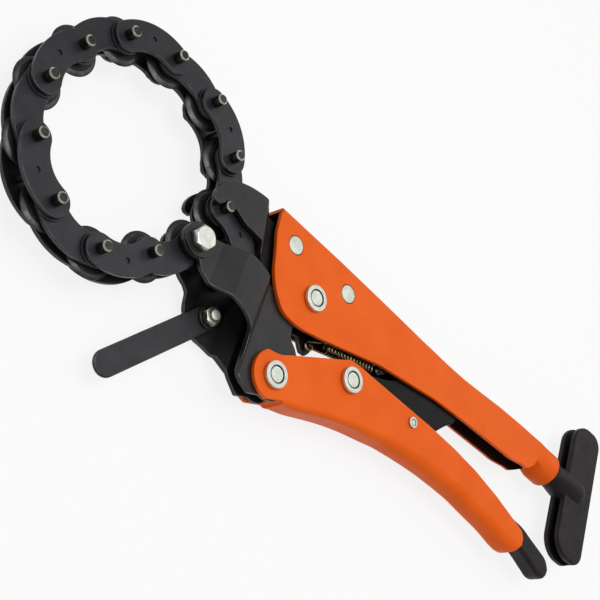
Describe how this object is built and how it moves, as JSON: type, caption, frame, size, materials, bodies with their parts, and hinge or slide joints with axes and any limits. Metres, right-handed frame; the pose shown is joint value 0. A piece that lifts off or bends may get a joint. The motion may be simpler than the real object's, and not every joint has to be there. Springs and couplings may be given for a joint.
{
  "type": "chain pipe cutter",
  "caption": "Locking chain pipe cutter: a pinned link chain with cutter wheels loops from one plier jaw to a hook on the other, closed by an over-centre lever and a screw knob.",
  "frame": {"origin": "centre of the bounding box's underside, the tool lying on its side with the pictured side up", "axes": "+X along the handles from the chain loop towards the turning knob, +Y from the lower lever towards the upper handle, +Z out of the pictured side"},
  "size_m": [0.4178, 0.1544, 0.03],
  "materials": {
    "orange_coat": "orange powder coat, semi-gloss",
    "black_oxide": "black oxide, satin",
    "blued_steel": "blued steel, satin",
    "bright_steel": "bright zinc or nickel, satin",
    "moulded_black": "black dipped coat, matt"
  },
  "bodies": {
    "frame": {"upper_handle": "orange_coat", "hook_jaw_near": "black_oxide", "hook_jaw_far": "black_oxide", "main_pivot_rivet": "bright_steel", "front_jaw_rivet": "bright_steel", "rear_jaw_rivet": "bright_steel", "spring_tab": "black_oxide", "return_spring": "bright_steel"},
    "moving_jaw": {"moving_jaw_near": "black_oxide", "moving_jaw_far": "black_oxide", "lever_rivet": "bright_steel", "spring_post": "bright_steel", "anchor_bolt": "bright_steel", "anchor_washer": "black_oxide", "anchor_nut": "bright_steel", "anchor_spacer_near": "black_oxide", "anchor_spacer_far": "black_oxide", "guide_bolt": "bright_steel", "guide_nut": "bright_steel", "guide_washer": "bright_steel", "guide_spacer": "black_oxide"},
    "lower_lever": {"lower_lever": "orange_coat", "toggle_rivet": "bright_steel", "release_rivet": "bright_steel"},
    "toggle": {"toggle_link": "black_oxide"},
    "release": {"release_lever": "moulded_black"},
    "guide": {"guide_bar": "blued_steel"},
    "screw": {"adjusting_screw": "bright_steel"},
    "knob": {"screw_knob": "moulded_black"},
    "link_00": {"inner_plate_near_00": "blued_steel", "inner_plate_far_00": "blued_steel"},
    "link_01": {"outer_link_01": "blued_steel"},
    "link_02": {"inner_plate_near_02": "blued_steel", "inner_plate_far_02": "blued_steel"},
    "link_03": {"outer_link_03": "blued_steel"},
    "link_04": {"inner_plate_near_04": "blued_steel", "inner_plate_far_04": "blued_steel"},
    "link_05": {"outer_link_05": "blued_steel"},
    "link_06": {"inner_plate_near_06": "blued_steel", "inner_plate_far_06": "blued_steel"},
    "link_07": {"outer_link_07": "blued_steel"},
    "link_08": {"inner_plate_near_08": "blued_steel", "inner_plate_far_08": "blued_steel"},
    "link_09": {"outer_link_09": "blued_steel"},
    "link_10": {"inner_plate_near_10": "blued_steel", "inner_plate_far_10": "blued_steel"},
    "link_11": {"tail_link_11": "blued_steel"},
    "wheel_00": {"cutter_wheel_00": "black_oxide"},
    "wheel_01": {"cutter_wheel_01": "black_oxide"},
    "wheel_02": {"cutter_wheel_02": "black_oxide"},
    "wheel_03": {"cutter_wheel_03": "black_oxide"},
    "wheel_04": {"cutter_wheel_04": "black_oxide"},
    "wheel_05": {"cutter_wheel_05": "black_oxide"},
    "wheel_06": {"cutter_wheel_06": "black_oxide"},
    "wheel_07": {"cutter_wheel_07": "black_oxide"},
    "wheel_08": {"cutter_wheel_08": "black_oxide"},
    "wheel_09": {"cutter_wheel_09": "black_oxide"},
    "wheel_10": {"cutter_wheel_10": "black_oxide"},
    "wheel_11": {"cutter_wheel_11": "black_oxide"}
  },
  "joints": [
    {"name": "jaw_open", "type": "hinge", "parent": "frame", "child": "moving_jaw", "pos_m": [-0.03452, 0.01381, 0.0155], "axis": [0, 0, 1], "range_deg": [0, 8], "deforming": ["return_spring"]},
    {"name": "lever_swing", "type": "hinge", "parent": "moving_jaw", "child": "lower_lever", "pos_m": [-0.04232, -0.03359, 0.0155], "axis": [0, 0, 1], "range_deg": [-40, 0]},
    {"name": "toggle_swing", "type": "hinge", "parent": "lower_lever", "child": "toggle", "pos_m": [0.00168, -0.00909, 0.0155], "axis": [0, 0, 1], "range_deg": [0, 52]},
    {"name": "release_pull", "type": "hinge", "parent": "lower_lever", "child": "release", "pos_m": [0.04868, -0.00469, 0.0155], "axis": [0, 0, 1], "range_deg": [0, 8]},
    {"name": "guide_swing", "type": "hinge", "parent": "moving_jaw", "child": "guide", "pos_m": [-0.07792, -0.02319, 0.0155], "axis": [0, 0, 1], "range_deg": [-20, 50]},
    {"name": "chain_00", "type": "hinge", "parent": "moving_jaw", "child": "link_00", "pos_m": [-0.10532, -0.00409, 0.0155], "axis": [0, 0, 1], "range_deg": [-45, 45]},
    {"name": "chain_01", "type": "hinge", "parent": "link_00", "child": "link_01", "pos_m": [-0.12298, -0.02371, 0.0155], "axis": [0, 0, 1], "range_deg": [-45, 45]},
    {"name": "chain_02", "type": "hinge", "parent": "link_01", "child": "link_02", "pos_m": [-0.14525, -0.03789, 0.0155], "axis": [0, 0, 1], "range_deg": [-45, 45]},
    {"name": "chain_03", "type": "hinge", "parent": "link_02", "child": "link_03", "pos_m": [-0.17125, -0.03331, 0.0155], "axis": [0, 0, 1], "range_deg": [-45, 45]},
    {"name": "chain_04", "type": "hinge", "parent": "link_03", "child": "link_04", "pos_m": [-0.19008, -0.0148, 0.0155], "axis": [0, 0, 1], "range_deg": [-45, 45]},
    {"name": "chain_05", "type": "hinge", "parent": "link_04", "child": "link_05", "pos_m": [-0.19753, 0.01052, 0.0155], "axis": [0, 0, 1], "range_deg": [-45, 45]},
    {"name": "chain_06", "type": "hinge", "parent": "link_05", "child": "link_06", "pos_m": [-0.19048, 0.03596, 0.0155], "axis": [0, 0, 1], "range_deg": [-45, 45]},
    {"name": "chain_07", "type": "hinge", "parent": "link_06", "child": "link_07", "pos_m": [-0.17444, 0.05693, 0.0155], "axis": [0, 0, 1], "range_deg": [-45, 45]},
    {"name": "chain_08", "type": "hinge", "parent": "link_07", "child": "link_08", "pos_m": [-0.1496, 0.06588, 0.0155], "axis": [0, 0, 1], "range_deg": [-45, 45]},
    {"name": "chain_09", "type": "hinge", "parent": "link_08", "child": "link_09", "pos_m": [-0.12344, 0.06234, 0.0155], "axis": [0, 0, 1], "range_deg": [-45, 45]},
    {"name": "chain_10", "type": "hinge", "parent": "link_09", "child": "link_10", "pos_m": [-0.10385, 0.04464, 0.0155], "axis": [0, 0, 1], "range_deg": [-45, 45]},
    {"name": "chain_11", "type": "hinge", "parent": "link_10", "child": "link_11", "pos_m": [-0.09863, 0.01876, 0.0155], "axis": [0, 0, 1], "range_deg": [-45, 45]},
    {"name": "wheel_spin_00", "type": "hinge", "parent": "moving_jaw", "child": "wheel_00", "pos_m": [-0.10532, -0.00409, 0.0155], "axis": [0, 0, 1], "continuous": true},
    {"name": "wheel_spin_01", "type": "hinge", "parent": "link_01", "child": "wheel_01", "pos_m": [-0.12298, -0.02371, 0.0155], "axis": [0, 0, 1], "continuous": true},
    {"name": "wheel_spin_02", "type": "hinge", "parent": "link_01", "child": "wheel_02", "pos_m": [-0.14525, -0.03789, 0.0155], "axis": [0, 0, 1], "continuous": true},
    {"name": "wheel_spin_03", "type": "hinge", "parent": "link_03", "child": "wheel_03", "pos_m": [-0.17125, -0.03331, 0.0155], "axis": [0, 0, 1], "continuous": true},
    {"name": "wheel_spin_04", "type": "hinge", "parent": "link_03", "child": "wheel_04", "pos_m": [-0.19008, -0.0148, 0.0155], "axis": [0, 0, 1], "continuous": true},
    {"name": "wheel_spin_05", "type": "hinge", "parent": "link_05", "child": "wheel_05", "pos_m": [-0.19753, 0.01052, 0.0155], "axis": [0, 0, 1], "continuous": true},
    {"name": "wheel_spin_06", "type": "hinge", "parent": "link_05", "child": "wheel_06", "pos_m": [-0.19048, 0.03596, 0.0155], "axis": [0, 0, 1], "continuous": true},
    {"name": "wheel_spin_07", "type": "hinge", "parent": "link_07", "child": "wheel_07", "pos_m": [-0.17444, 0.05693, 0.0155], "axis": [0, 0, 1], "continuous": true},
    {"name": "wheel_spin_08", "type": "hinge", "parent": "link_07", "child": "wheel_08", "pos_m": [-0.1496, 0.06588, 0.0155], "axis": [0, 0, 1], "continuous": true},
    {"name": "wheel_spin_09", "type": "hinge", "parent": "link_09", "child": "wheel_09", "pos_m": [-0.12344, 0.06234, 0.0155], "axis": [0, 0, 1], "continuous": true},
    {"name": "wheel_spin_10", "type": "hinge", "parent": "link_09", "child": "wheel_10", "pos_m": [-0.10385, 0.04464, 0.0155], "axis": [0, 0, 1], "continuous": true},
    {"name": "wheel_spin_11", "type": "hinge", "parent": "link_11", "child": "wheel_11", "pos_m": [-0.09863, 0.01876, 0.0155], "axis": [0, 0, 1], "continuous": true},
    {"name": "screw_travel", "type": "slide", "parent": "frame", "child": "screw", "axis": [1, 0, 0], "range_m": [0, 0.0101]},
    {"name": "knob_turn", "type": "hinge", "parent": "screw", "child": "knob", "pos_m": [0.17088, 0.03521, 0.0155], "axis": [1, 0, 0], "range_deg": [0, 2880]}
  ],
  "couplings": [
    {"joint": "lever_swing", "follows": "jaw_open", "ratio": -4.6087},
    {"joint": "toggle_swing", "follows": "jaw_open", "ratio": 6.1153},
    {"joint": "chain_00", "follows": "jaw_open", "ratio": -0.5414},
    {"joint": "chain_01", "follows": "jaw_open", "ratio": -0.3662},
    {"joint": "chain_02", "follows": "jaw_open", "ratio": -0.1118},
    {"joint": "chain_03", "follows": "jaw_open", "ratio": 0.1823},
    {"joint": "chain_04", "follows": "jaw_open", "ratio": 0.3279},
    {"joint": "chain_05", "follows": "jaw_open", "ratio": 0.2939},
    {"joint": "chain_06", "follows": "jaw_open", "ratio": 0.157},
    {"joint": "chain_07", "follows": "jaw_open", "ratio": 0.0197},
    {"joint": "chain_08", "follows": "jaw_open", "ratio": -0.0654},
    {"joint": "chain_09", "follows": "jaw_open", "ratio": -0.1036},
    {"joint": "chain_10", "follows": "jaw_open", "ratio": -0.0856},
    {"joint": "chain_11", "follows": "jaw_open", "ratio": -0.7068},
    {"joint": "screw_travel", "follows": "knob_turn", "m_per_rad": 0.00019894}
  ]
}
